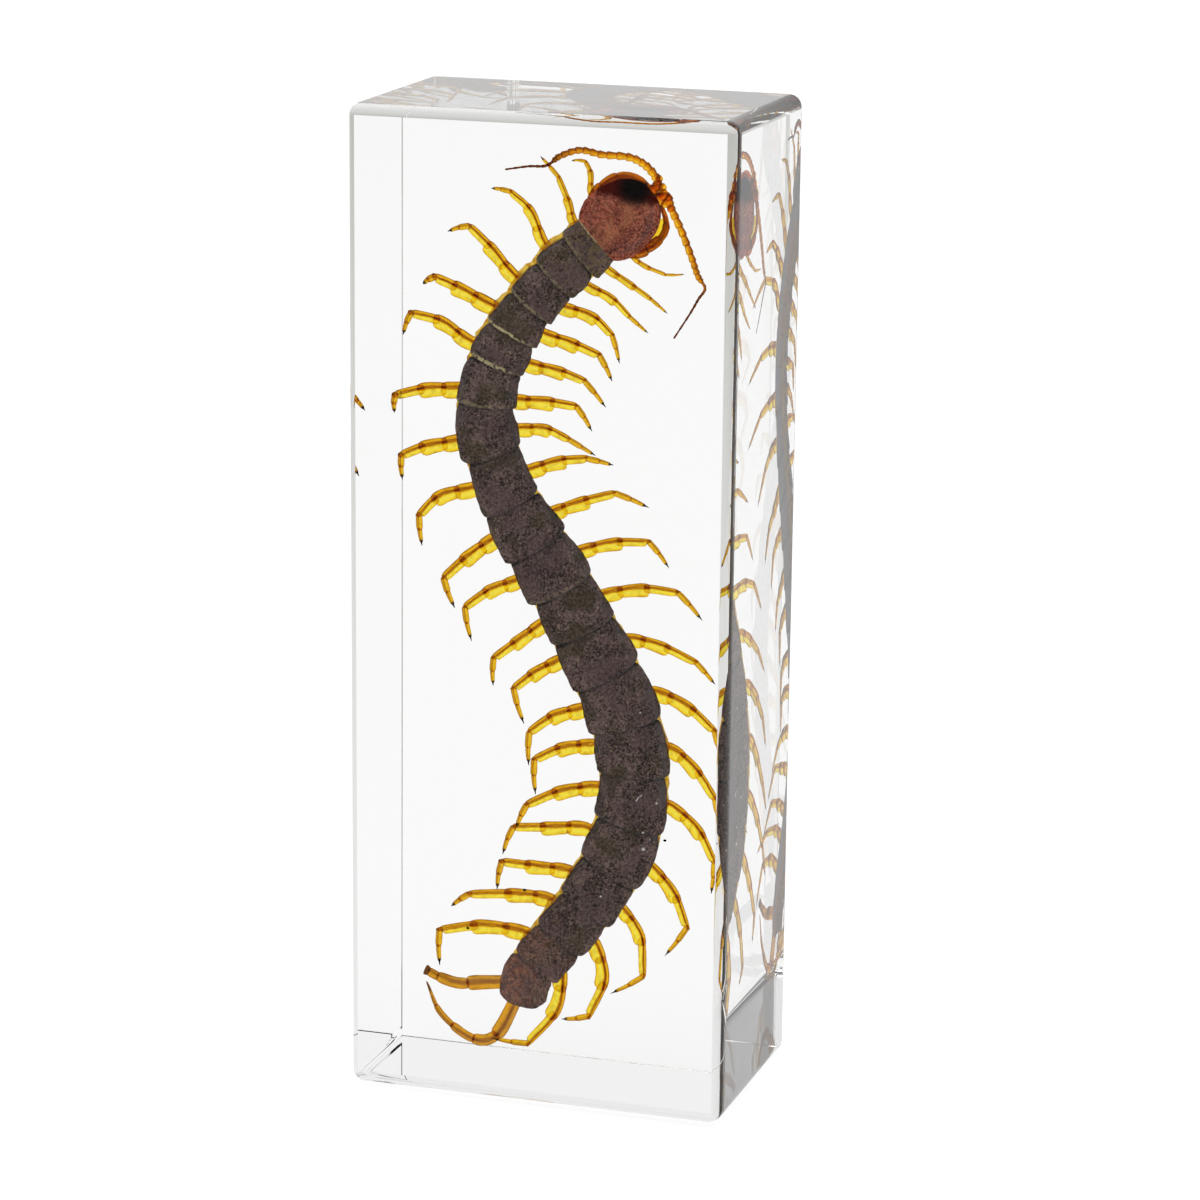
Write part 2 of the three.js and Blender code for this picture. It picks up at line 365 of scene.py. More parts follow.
# place is (across, along from the front edge, how pale the hind rim is). tint is the amount of
# olive below 0 and of reddish brown above it
def makePlateCuticle():
    look = plateLook
    material, tree, shader = newMaterial("plateCuticle")
    colour, normal, dots = addGrain(tree, shader, look)
    across, along, paleRim = addPlace(tree)
    tint = addNode(tree, "ShaderNodeAttribute", attribute_name="tint").outputs["Fac"]
    cloud = addNoise(tree, *look["cloud"])
    colour = addColourMix(tree, addRange(tree, cloud, *look["plumWindow"]), colour, look["plum"])
    colour = addColourMix(tree, addRange(tree, cloud, *look["mossWindow"]), colour, look["moss"])
    patchy = addBlotches(tree, *look["patches"])
    olive = addProduct(tree, addRange(tree, tint, 0.0, -1.0), patchy, look["oliveShare"])
    colour = addColourMix(tree, olive, colour, look["olive"])
    reddish = addProduct(tree, addRange(tree, tint, 0.0, 1.0), addRange(tree, across, *look["tailSide"]))
    tail = addProduct(tree, addRange(tree, patchy, 0.0, 1.0, *look["tailShares"]), reddish)
    colour = addColourMix(tree, tail, colour, look["tail"])
    # Painted highlights: pale dotted streaks laid on the animal's left side of the reddish tail plates
    paintedHighlightStreaks = addProduct(tree, reddish, addRange(tree, across, *look["paintedHighlightSide"]),
                        addBlotches(tree, *look["paintedHighlightStreaks"]))
    colour = addColourMix(tree, paintedHighlightStreaks, colour, look["paintedHighlight"])
    seam = addProduct(tree, addRange(tree, along, *look["seamAlong"]),
                      addRange(tree, tint, *look["seamTint"]))
    colour = addColourMix(tree, seam, colour, look["seam"])
    rim = addProduct(tree, dots, paleRim, addRange(tree, across, *look["rimSide"]),
                     addRange(tree, along, *look["rimAlong"]))
    colour = addColourMix(tree, rim, colour, look["rim"])
    inside = addRange(tree, addMath(tree, "ABSOLUTE", across), *look["filmSide"])
    addAirFilm(tree, shader, colour, normal, inside, airFilm)
    return material


headLook = {
    "dark": ink(88, 24, 14),
    "pale": ink(230, 130, 102),
    "fleck": ink(226, 164, 126),
    "fleckShare": 0.5,
    "bump": 0.04,
    "roughness": 0.45,
    "streaks": (900, 3, 0.6),
    "stripe": ink(238, 150, 104),
    "stripeShare": 0.5,
    "stripeSide": (0.5, 0.1),
    "stripeWindow": (0.4, 0.6),
    "red": ink(80, 12, 3),
    "redLean": 0.34,           # the red front reaches further back on the animal's left
    "redWander": 0.24,
    "redAlong": (0.85, 0.99),
    "front": ink(6, 0, 0),
    "frontAt": (0.44, 0.865),
    "frontFlat": 2.4,          # how much wider than long the black front is
    "frontWindow": (0.46, 0.04),
    "rim": ink(222, 206, 150),
    "rimAlong": (0.105, 0.09),
    "filmAway": (0.9, 0.72),
    "film": {"ior": 0.59, "colour": (0.13, 0.122, 0.126, 1.0), "roughness": 0.5},
}


# place is (towards the animal's left, along from the hind edge, away from the middle)
def makeHeadCuticle():
    look = headLook
    material, tree, shader = newMaterial("headCuticle")
    colour, normal, dots = addGrain(tree, shader, look)
    across, along, away = addPlace(tree)
    streaks = addNoise(tree, *look["streaks"])
    middle = addRange(tree, addMath(tree, "ABSOLUTE", across), *look["stripeSide"])
    stripe = addProduct(tree, middle, addRange(tree, streaks, *look["stripeWindow"]), look["stripeShare"])
    colour = addColourMix(tree, stripe, colour, look["stripe"])
    forward = addMath(tree, "MULTIPLY_ADD", across, look["redLean"], along)
    wander = addMath(tree, "MULTIPLY_ADD", streaks, look["redWander"], forward)
    red = addRange(tree, wander, *look["redAlong"])
    colour = addColourMix(tree, red, colour, look["red"])
    sideways = addMath(tree, "SUBTRACT", across, look["frontAt"][0])
    lengthways = addProduct(tree, addMath(tree, "SUBTRACT", along, look["frontAt"][1]), look["frontFlat"])
    apart = addMath(tree, "ADD", *(addMath(tree, "POWER", way, 2.0) for way in (sideways, lengthways)))
    colour = addColourMix(tree, addRange(tree, apart, *look["frontWindow"]), colour, look["front"])
    rim = addProduct(tree, addRange(tree, along, *look["rimAlong"]), dots)
    colour = addColourMix(tree, rim, colour, look["rim"])
    inside = addProduct(tree, addRange(tree, away, *look["filmAway"]), addRange(tree, red, 1.0, 0.0))
    addAirFilm(tree, shader, colour, normal, inside, look["film"])
    return material


bellyLook = {
    "dark": ink(84, 48, 22),
    "pale": ink(160, 108, 58),
    "fleck": ink(190, 150, 90),
    "fleckShare": 0.4,
    "bump": 0.03,
    "roughness": 0.5,
    "seam": ink(58, 34, 18),
    "seamSide": (0.5, 0.9, 0.0, 0.7),
    "seamEnd": (0.4, 0.48, 0.0, 0.8),
}


def makeBellyCuticle():
    look = bellyLook
    material, tree, shader = newMaterial("bellyCuticle")
    colour, normal, _ = addGrain(tree, shader, look)
    across, along, _ = addPlace(tree)
    sides = addRange(tree, addMath(tree, "ABSOLUTE", across), *look["seamSide"])
    fromMiddle = addMath(tree, "ABSOLUTE", addMath(tree, "SUBTRACT", along, 0.5))
    ends = addRange(tree, fromMiddle, *look["seamEnd"])
    colour = addColourMix(tree, addMath(tree, "MAXIMUM", sides, ends), colour, look["seam"])
    addAirFilm(tree, shader, colour, normal, 1.0, airFilm)
    return material


skinLook = {
    "dark": ink(92, 58, 28),
    "pale": ink(160, 118, 62),
    "fleck": ink(205, 180, 120),
    "fleckShare": 0.8,
    "bump": 0.03,
    "roughness": 0.4,
    "through": 0.8,
    "glow": ((0.3, 150, 92, 20), (0.45, 230, 176, 50), (0.55, 255, 224, 96), (0.7, 190, 124, 40)),
    "glowNoise": (1500, 3, 0.5),
    "glowSide": (0.74, 0.9),
}


# Dark over the body and glowing at its sides, where light comes through
def makeSkin():
    look = skinLook
    material, tree, shader = newMaterial("flankSkin")
    colour, normal, _ = addGrain(tree, shader, look)
    across, _, _ = addPlace(tree)
    side = addRange(tree, addMath(tree, "ABSOLUTE", across), *look["glowSide"])
    glow = addRamp(tree, addNoise(tree, *look["glowNoise"]), look["glow"])
    shader.inputs["Transmission Weight"].default_value = look["through"]
    colour = addColourMix(tree, side, colour, glow)
    addAirFilm(tree, shader, colour, normal, addRange(tree, side, 0.0, 1.0, 1.0, 0.0), airFilm)
    return material


# The bands that run along a limb of amber cuticle wander a little, and stains lie over them
bands = {
    "wander": (800, 3, 0.6),
    "wanderShare": 0.5,
    "edges": (-0.75, 1.25),
    "stains": (1500, 3, 0.5),
    "stainWindow": (0.32, 0.5),
}


def makeBandGroup():
    group, start, end = newGroup("amberBands", {"Across": "Float", "Stained": "Float"},
                                 {"Band": "Float", "Stain": "Float"})
    wander = addMath(group, "MULTIPLY_ADD", addNoise(group, *bands["wander"]),
                     bands["wanderShare"], start.outputs["Across"])
    band = addNode(group, "ShaderNodeMapRange")
    feedAll(group, band, {"Value": wander, "From Min": bands["edges"][0], "From Max": bands["edges"][1]})
    stain = addRange(group, addNoise(group, *bands["stains"]), *bands["stainWindow"],
                     start.outputs["Stained"], 0.0)
    feedAll(group, end, {"Band": band.outputs["Result"], "Stain": stain})
    return group


bandGroup = makeBandGroup()

# Colours across a limb start at its dark head side. The places along it where the shin's
# colours and the claw's begin are windows.
amberLook = {
    "through": 0.93,
    "ior": 1.02,
    "roughness": 0.12,
    "thigh": ((0.0, 206, 146, 8), (0.07, 255, 218, 40), (0.3, 255, 240, 84), (0.44, 252, 206, 24),
              (0.52, 150, 76, 4), (0.6, 132, 60, 4), (0.67, 216, 150, 10), (0.82, 250, 200, 30),
              (0.93, 196, 130, 8), (1.0, 126, 70, 4)),
    "shin": ((0.0, 190, 130, 12), (0.12, 236, 184, 26), (0.45, 244, 198, 40), (0.62, 176, 112, 8),
             (0.78, 228, 172, 26), (1.0, 140, 82, 6)),
    "shinStart": (0.9, 1.05),
    "claw": ink(38, 24, 22),
    "clawStart": (1.8, 1.87),
    "stain": ink(150, 92, 6),
    "stained": 0.35,
}
trailerLook = {
    **amberLook,
    "thigh": ((0.0, 170, 104, 16), (0.12, 232, 172, 40), (0.4, 214, 150, 36), (0.5, 140, 84, 44),
              (0.6, 128, 74, 40), (0.7, 206, 146, 50), (0.9, 216, 160, 54), (1.0, 140, 84, 20)),
    "shin": ((0.0, 170, 104, 14), (0.2, 222, 160, 36), (0.45, 210, 150, 36), (0.6, 140, 84, 14),
             (0.8, 200, 140, 30), (1.0, 140, 80, 10)),
    "claw": ink(112, 66, 28),
    "clawStart": (1.46, 1.53),
    "stain": ink(120, 66, 40),
}
feelerLook = {
    **amberLook,
    "thigh": ((0.0, 226, 150, 10), (0.3, 255, 206, 46), (0.5, 240, 164, 12), (0.7, 214, 132, 8),
              (0.84, 150, 76, 6), (1.0, 120, 56, 6)),
    "shin": ((0.0, 206, 128, 16), (0.4, 222, 150, 20), (0.7, 160, 84, 10), (1.0, 110, 52, 8)),
    "shinStart": (0.5, 1.1),
    "claw": ink(104, 50, 12),
    "clawStart": (1.0, 1.3),
    "stain": ink(150, 70, 6),
    "stained": 0.6,
}
foldLook = {
    **amberLook,
    "thigh": ((0.0, 240, 180, 20), (0.3, 255, 226, 60), (0.7, 255, 214, 40), (1.0, 230, 150, 16)),
}
jawLook = {
    **amberLook,
    "through": 0.8,
    "thigh": ((0.0, 150, 60, 10), (0.2, 226, 140, 24), (0.36, 150, 56, 8), (0.5, 96, 26, 6),
              (0.66, 200, 100, 14), (0.8, 140, 50, 8), (1.0, 96, 26, 6)),
    "shin": ((0.0, 206, 110, 16), (0.4, 216, 120, 16), (0.6, 130, 40, 6), (0.8, 180, 84, 10),
             (1.0, 110, 34, 8)),
    "shinStart": (0.5, 0.9),
    "claw": ink(70, 14, 6),
    "clawStart": (0.9, 1.0),
    "stain": ink(120, 26, 6),
    "stained": 0.75,
}


# place is (towards the head side, along, how plain the limb is)
def makeAmber(name, look):
    material, tree, shader = newMaterial(name)
    across, along, plain = addPlace(tree)
    made = addNode(tree, "ShaderNodeGroup", node_tree=bandGroup)
    feedAll(tree, made, {"Across": across, "Stained": look["stained"]})
    thigh = addRamp(tree, made.outputs["Band"], look["thigh"])
    shin = addRamp(tree, made.outputs["Band"], look["shin"])
    limb = addColourMix(tree, addRange(tree, along, *look["shinStart"]), thigh, shin)
    limb = addColourMix(tree, plain, limb, shin)
    limb = addColourMix(tree, made.outputs["Stain"], limb, look["stain"])
    limb = addColourMix(tree, addRange(tree, along, *look["clawStart"]), limb, look["claw"])
    feedAll(tree, shader, {"Base Color": limb, "Transmission Weight": look["through"],
                           "IOR": look["ior"], "Roughness": look["roughness"]})
    return material


resin = makeResin()
plateCuticle = makePlateCuticle()
headCuticle = makeHeadCuticle()
bellyCuticle = makeBellyCuticle()
skin = makeSkin()
legAmber = makeAmber("legAmber", amberLook)
trailerAmber = makeAmber("trailerAmber", trailerLook)
feelerAmber = makeAmber("feelerAmber", feelerLook)
jawAmber = makeAmber("jawAmber", jawLook)
foldAmber = makeAmber("foldAmber", foldLook)
print("materials made")


# Trunk: the middle of each segment and then the tail's end, as [across, height], with the
# half width of each segment
trunk = {
    "middles": ((5.4, 97.0), (3.0, 95.0), (0.3, 92.7), (-2.5, 89.7), (-4.9, 86.6), (-6.6, 83.5),
                (-8.1, 79.5), (-8.5, 74.7), (-6.7, 68.9), (-4.2, 63.9), (-1.3, 59.4), (1.5, 54.7),
                (3.9, 50.2), (6.7, 44.7), (8.3, 39.3), (8.5, 33.6), (7.2, 27.7), (4.4, 22.6),
                (1.7, 18.8), (-1.3, 15.0), (-3.5, 12.0), (-4.1, 8.9)),
    "halfWidths": (3.0, 3.2, 3.25, 3.1, 3.2, 3.45, 3.4, 3.6, 3.4, 3.9, 4.1, 4.1,
                   4.35, 4.3, 4.45, 4.25, 4.25, 3.85, 3.6, 3.25, 3.1, 2.75),
}
spine = [spot(*place) for place in trunk["middles"]]


def trunkHalfWidth(place):
    widths = trunk["halfWidths"]
    index = min(max(int(place), 0), len(widths) - 2)
    return mix(widths[index], widths[index + 1], min(max(place - index, 0), 1))


# A bump of a given height about the place where it peaks
def bell(value, peak, spread, height):
    return height * math.exp(-((value - peak) / spread) ** 2)


# How much bare skin shows beside the plates on a side, 1 for the right and -1 for the left,
# as bells along the trunk
bareBells = {1: ((14.6, 2.0, 0.12),), -1: ((2.9, 2.2, 0.42), (18.2, 2.0, 0.28))}


def bareSkin(side, place):
    return sum(bell(place, *peak) for peak in bareBells[side])


# Rises and tapers are shares of a plate's half width. Waves, ripples, wrinkles, the step and
# the groove's depth are in millimetres.
plates = {
    "cells": (30, 16),         # across and along
    "thickness": 0.14,
    "backRise": 0.42,
    "bellyRise": 0.5,
    "bellyWidth": 0.8,
    "paleRims": {1: 0.2, 2: 0.25, 3: 0.35, 4: 1.0, 5: 0.9, 6: 0.3, 10: 0.15},
    "tints": {0: -1.0, 1: -0.9, 2: -0.4, 3: -0.2, 4: -0.1, 18: 0.15, 19: 0.45, 20: 0.85},
    "lastEnd": 0.98,           # where the last plate ends, in segments
    "sizes": (0.975, 1.015),
    "lean": 0.035,             # how far a plate may be askew, in segments
    "bow": 0.06,               # how far its hind edge bows back, in segments
    "cornerCut": 0.08,
    "lastCornerCut": 0.2,
    "frontTaper": 0.12,
    "cornerTaper": 0.03,
    "lastTaper": 0.16,
    "waves": 0.07,             # slow waves of the side edges
    "ripples": 0.05,
    "step": 0.12,              # how far the hind edge stands over the next plate
    "grooveAt": 0.4,
    "grooveSpread": 0.035,
    "grooveDepth": 0.05,
    "wrinkles": 0.03,
}


# A row of arched plates, one for each segment. facing is -1 for the back, 1 for the belly
def addPlates(bm, facing, widthShare, rise):
    told = bm.verts.layers.float_vector["place"]
    tinted = bm.verts.layers.float.new("tint")
    cellsAcross, cellsAlong = plates["cells"]
    for number in range(len(spine) - 1):
        paleRim = plates["paleRims"].get(number, 0)
        tint = plates["tints"].get(number, 0)
        start, end = number - 0.5, number + 0.5
        last = number == len(spine) - 2
        if last:
            end = number + plates["lastEnd"]
        cornerCut = plates["lastCornerCut"] if last else plates["cornerCut"]
        size = widthShare * chance.uniform(*plates["sizes"])
        lean = chance.uniform(-plates["lean"], plates["lean"])
        grid = bmesh.ops.create_grid(bm, x_segments=cellsAcross, y_segments=cellsAlong, size=1)["verts"]
        faces = list(dict.fromkeys(face for vert in grid for face in vert.link_faces))
        for vert in grid:
            a, b = vert.co.x, (vert.co.y + 1) / 2
            vert[told] = (a, b, paleRim)
            vert[tinted] = tint
            corner = (abs(a) * abs(2 * b - 1)) ** 7
            place = mix(start, end, b) + plates["bow"] * (1 - a * a) * b + lean * a
            place = mix(place, number, cornerCut * corner)
            side = 1 if a > 0 else -1
            half = trunkHalfWidth(place) * size - bareSkin(side, number)
            half *= 1 - plates["frontTaper"] * (1 - b) ** 2 - plates["cornerTaper"] * corner
            half += plates["waves"] * math.sin(5.1 * b + 2.3 * number + side) * a * a
            ripple = math.sin(19 * b + 7 * number + 2 * side) * math.sin(8 * b + number)
            half += plates["ripples"] * ripple * a ** 6
            if last:
                half *= 1 - plates["lastTaper"] * b ** 8
            right = headingOn(spine, place).cross(deepWay)
            arch = (1 - abs(a) ** 3) ** 0.6
            groove = bell(abs(a), plates["grooveAt"], plates["grooveSpread"], plates["grooveDepth"])
            wrinkle = math.sin(9 * b + 5 * a + number) * math.sin(7 * a + 2 * number)
            lift = half * rise * arch + plates["step"] * b - groove + plates["wrinkles"] * wrinkle
            vert.co = onCurve(spine, place) + right * a * half + deepWay * facing * lift
        bmesh.ops.solidify(bm, geom=faces, thickness=plates["thickness"])


flank = {
    "steps": 168,
    "start": -0.3,             # places are counted in segments
    "length": 21.15,
    "frontSteps": 6,           # how many steps it takes to reach its full size
    "hindSteps": 12,
    "widthShare": 0.955,
    "inset": 0.2,
    "behind": 0.25,
    "deepShare": 0.25,
    "bulge": 0.12,             # in the middle of each segment
    "lumps": 0.13,
    "ripples": 0.07,
    "sides": 40,
}


# The soft skin between back and belly, which shows at the flanks and in the gaps
def addFlanks(bm):
    rings = []
    for number in range(flank["steps"] + 1):
        place = flank["start"] + flank["length"] * number / flank["steps"]
        swell = 0.5 + 0.5 * math.cos(math.tau * place)
        fromHind = flank["steps"] - number
        toFront = (0.3 + number) / flank["frontSteps"]
        toEnd = min(1.0, toFront, (0.3 + fromHind) / flank["hindSteps"]) ** 0.5
        sizes = []
        for side in (1, -1):
            half = trunkHalfWidth(place) * flank["widthShare"] - flank["inset"]
            half += bareSkin(side, place) * (0.25 + 0.5 * swell) + flank["bulge"] * swell ** 3
            half += flank["lumps"] * math.sin(15.7 * place + side) * math.sin(4.1 * place)
            half += flank["ripples"] * math.sin(37 * place + 2 * side) * math.sin(11 * place)
            sizes.append(half * toEnd)
        sizes.append(trunkHalfWidth(place) * flank["deepShare"] * toEnd)
        centre = onCurve(spine, place) + deepWay * flank["behind"]
        rings.append((centre, headingOn(spine, place), sizes, (place, 0)))
    addBody(bm, rings, flank["sides"])


backPlates = makePiece("back_plates", plateCuticle, addPlates, -1, 1.0, plates["backRise"])
makePiece("belly_plates", bellyCuticle, addPlates, 1, plates["bellyWidth"], plates["bellyRise"])
makePiece("flank_skin", skin, addFlanks)
print("trunk made")


# Walking legs from the first pair to the twentieth. A row is the places of the leg's base,
# the end of the thigh, the knee and the claw, and then how deep the claw hangs.
rightLegs = (
    (7.9, 93.7, 9.2, 92.8, 11.4, 92.0, 13.4, 92.1, 0.4),
    (4.9, 92.5, 7.4, 90.9, 9.8, 89.3, 11.6, 87.8, 0.5),
    (2.9, 90.5, 5.4, 89.3, 7.5, 87.3, 9.5, 85.6, 0.5),
    (0.0, 88.2, 3.4, 87.2, 5.6, 85.2, 6.4, 82.2, 0.6),
    (-1.7, 85.0, 1.2, 84.2, 4.2, 83.0, 5.6, 80.2, 0.6),
    (-3.7, 81.8, -0.2, 81.1, 2.6, 80.1, 4.9, 77.3, 0.7),
    (-5.2, 77.8, -1.5, 77.7, 1.7, 77.3, 3.4, 74.6, 0.7),
    (-4.6, 74.6, -1.8, 74.7, 0.9, 73.6, 3.8, 71.9, 0.7),
    (-3.4, 70.1, -0.2, 71.2, 2.9, 71.6, 5.8, 70.9, 0.7),
    (-0.9, 65.5, 2.4, 66.8, 6.1, 67.9, 9.8, 66.4, 0.6),
    (2.2, 61.3, 6.1, 62.4, 10.0, 62.6, 12.2, 59.8, 0.6),
    (5.2, 56.6, 9.2, 57.4, 13.3, 57.1, 16.0, 54.1, 0.6),
    (8.0, 51.7, 11.6, 51.0, 15.5, 49.3, 17.6, 46.9, 0.8),
    (11.0, 45.8, 14.5, 44.4, 17.7, 41.6, 18.5, 38.2, 1.0),
    (12.9, 39.4, 15.6, 37.2, 17.9, 33.8, 18.5, 30.5, 2.0),
    (13.0, 32.8, 16.0, 30.3, 18.0, 26.4, 17.8, 22.5, 3.0),
    (10.9, 25.6, 13.4, 22.8, 15.0, 18.6, 12.7, 14.9, 3.2),
    (7.6, 20.6, 9.7, 17.5, 10.1, 12.5, 6.6, 9.8, 4.2),
    (4.6, 16.2, 5.6, 12.2, 3.8, 7.4, 0.9, 6.4, 4.0),
    (0.7, 12.6, 0.1, 8.2, -3.3, 3.8, -7.2, 3.8, 3.0),
)
leftLegs = (
    (3.1, 100.5, 3.0, 102.6, 2.4, 103.9, 0.9, 103.9, 0.5),
    (1.1, 97.5, 0.6, 99.4, -0.6, 102.2, -2.5, 104.2, 0.8),
    (-2.2, 95.2, -3.6, 98.4, -5.9, 100.4, -7.9, 100.6, 1.3),
    (-5.5, 91.4, -7.9, 94.2, -10.4, 96.5, -12.7, 95.7, 2.2),
    (-8.2, 88.1, -11.4, 89.7, -14.3, 90.8, -15.5, 89.8, 2.7),
    (-10.4, 84.0, -13.4, 86.0, -16.9, 86.6, -17.7, 83.8, 6.0),
    (-11.7, 78.7, -15.1, 78.6, -18.7, 77.4, -18.7, 75.0, 6.6),
    (-11.7, 72.9, -15.2, 72.2, -18.0, 70.7, -17.8, 67.5, 6.8),
    (-9.9, 67.7, -13.6, 66.7, -16.0, 64.2, -15.6, 60.5, 4.2),
    (-7.7, 62.0, -10.6, 59.9, -13.2, 57.3, -11.9, 53.8, 3.0),
    (-5.0, 57.5, -8.0, 56.3, -10.8, 54.2, -10.0, 50.4, 1.4),
    (-2.1, 52.7, -4.8, 50.7, -7.5, 48.6, -7.5, 45.5, 0.8),
    (-0.1, 48.7, -2.8, 47.2, -5.2, 45.3, -4.0, 41.4, 0.5),
    (2.4, 43.3, -0.6, 42.4, -3.4, 40.4, -3.4, 36.7, 0.3),
    (3.7, 39.3, 0.4, 38.8, -2.8, 37.3, -2.6, 33.4, 0.3),
    (4.1, 34.5, 0.2, 33.8, -3.6, 31.9, -4.7, 28.9, 2.4),
    (2.8, 29.8, -1.1, 29.6, -5.1, 29.2, -6.2, 25.7, 3.0),
    (1.1, 24.7, -2.7, 25.0, -6.4, 25.0, -6.8, 21.3, 4.2),
    (-1.1, 21.3, -5.0, 21.6, -10.2, 21.0, -12.1, 19.0, 4.0),
    (-3.8, 17.2, -8.6, 17.7, -13.6, 16.6, -13.5, 12.1, 3.5),
)
# A part of a leg has its start and end, and its half sizes there: towards the head, towards
# the tail and deep. The knee is at 1 and the claw's tip at 2.
legParts = (
    (-0.45, 0.27, (0.62, 0.90, 0.55), (0.60, 1.16, 0.64)),
    (0.19, 0.63, (0.54, 0.94, 0.50), (0.53, 1.08, 0.58)),
    (0.54, 1.02, (0.46, 0.66, 0.44), (0.40, 0.50, 0.42)),
    (0.96, 1.47, (0.34, 0.42, 0.34), (0.30, 0.36, 0.30)),
    (1.43, 1.90, (0.28, 0.33, 0.28), (0.17, 0.20, 0.18)),
    (1.86, 2.04, (0.13, 0.13, 0.13), (0.02, 0.02, 0.02)),
)
# How full a part of a limb is along its length, as (share of the length, scale)
limbEnds = ((0.0, 0.55), (0.03, 0.76), (0.09, 0.9), (0.2, 0.97), (0.36, 0.99), (0.54, 1.02),
            (0.72, 1.05), (0.86, 1.02), (0.95, 0.88), (1.0, 0.55))
legs = {
    "sides": 14,
    "headSideShare": {1: 0.9, -1: 1.15},
    "hipShare": 0.4,           # how far the hip lies from the leg's base to the middle
    "hipDepth": 0.5,
    "kneeDrop": 0.4,           # the knee's share of the claw's depth
    "bow": 0.12,
    "firstSize": 0.52,         # the first legs are smaller, less bulged and plainer
    "growth": 0.12,
    "sizes": (0.95, 1.06),
    "firstBulge": 0.2,
    "bulgeGrowth": 0.3,
    "firstPlain": 0.9,
    "plainLoss": 0.45,
    "shift": 0.02,
}


def addLeg(bm, row, number, side):
    deep = row[8]
    base, thigh = spot(row[0], row[1], legs["hipDepth"]), spot(row[2], row[3], legs["hipDepth"])
    knee, claw = spot(row[4], row[5], deep * legs["kneeDrop"]), spot(row[6], row[7], deep)
    hip = mix(base, spine[number], legs["hipShare"])
    hip.y = legs["hipDepth"]
    outward = headingOn([base, thigh, knee], 2)
    upper = [hip, base, thigh, knee]
    lower = [knee, mix(knee, claw, 0.5) + outward * legs["bow"], claw]
    size = min(1.0, legs["firstSize"] + legs["growth"] * number) * chance.uniform(*legs["sizes"])
    bulge = min(1.0, legs["firstBulge"] + legs["bulgeGrowth"] * number)
    plain = max(0.0, legs["firstPlain"] - legs["plainLoss"] * number)
    shift = chance.uniform(-legs["shift"], legs["shift"])
    for start, end, first, final in legParts:
        rings = []
        if start < 0.9:
            start, end = start + shift, min(end + shift, 1.01)
        for share, scale in limbEnds:
            place = mix(start, end, share)
            path, at = (upper, 1 + place * 2) if place < 0.985 else (lower, (place - 1) * 2)
            sizes = [mix(a, b, share) * scale * size for a, b in zip(first, final)]
            sizes[0] *= legs["headSideShare"][side]
            sizes[1] = mix(sizes[0], sizes[1], bulge)
            rings.append((onCurve(path, at), headingOn(path, at), sizes, (place, plain)))
        addBody(bm, rings, legs["sides"], side)


def addLegs(bm, rows, side):
    for number, row in enumerate(rows):
        addLeg(bm, row, number, side)


makePiece("legs_right", legAmber, addLegs, rightLegs, 1)
makePiece("legs_left", legAmber, addLegs, leftLegs, -1)
print("legs made")


# Limbs in parts that are (start, end, half size at both), with the places counted in points
# of the path. told is how far along its end counts for the material.
def addLimbs(bm, limbs, sides, deepShare, told):
    for limb in limbs:
        points = [spot(*place) for place in limb["path"]]
        span = len(points) - 1
        for start, end, first, final in limb["parts"]:
            rings = []
            for share, scale in limbEnds:
                place = mix(start, end, share)
                width = mix(first, final, share) * scale
                rings.append((onCurve(points, place), headingOn(points, place),
                              (width, width, width * deepShare), (place / span * told, 0)))
            addBody(bm, rings, sides, limb["side"])


# The last pair trails behind the tail
trailers = {
    "trailing_leg_left": {
        "side": -1,
        "path": ((-4.6, 11.3, 0.4), (-8.9, 10.9, 0.5), (-11.4, 10.6, 0.8), (-13.6, 11.1, 1.2),
                 (-15.2, 11.8, 1.5)),
        "parts": ((0.0, 1.55, 0.80, 0.86), (1.45, 3.15, 0.74, 0.62), (3.05, 3.8, 0.58, 0.50),
                  (3.72, 4.06, 0.56, 0.60)),
    },
    "trailing_leg_right": {
        "side": 1,
        "path": ((-4.4, 9.8, 0.4), (-7.0, 4.8, 0.5), (-9.9, 4.2, 0.9), (-13.4, 6.8, 1.3),
                 (-15.0, 10.2, 1.5)),
        "parts": ((0.0, 1.04, 0.78, 0.84), (0.94, 1.95, 0.70, 0.66), (1.86, 2.62, 0.56, 0.50),
                  (2.56, 3.3, 0.42, 0.34), (3.25, 4.06, 0.30, 0.10)),
    },
}
for name, trailer in trailers.items():
    makePiece(name, trailerAmber, addLimbs, [trailer], 18, 0.8, 1.6)


# Head
head = {
    "middle": (6.35, 97.95),
    "heading": math.radians(41),
    "halfLength": 4.55,
    "halfWidth": 4.0,
    "rise": 1.7,
    "topShare": 0.9,           # of the rise
    "underShare": 0.75,
    "squareness": 2.5,         # 2 would be an oval
    "flatness": 2.9,
    "edgePower": 0.55,
    "frontTaper": 0.09,
    "endTaper": 0.07,
    "frontThinner": 0.2,
    "grooveDepth": 0.05,
    "grooveSpread": 0.03,
    "lift": 0.15,
}


def headFrame():
    ahead = Vector((math.cos(head["heading"]), 0, math.sin(head["heading"])))
    return spot(*head["middle"]), ahead, ahead.cross(deepWay)


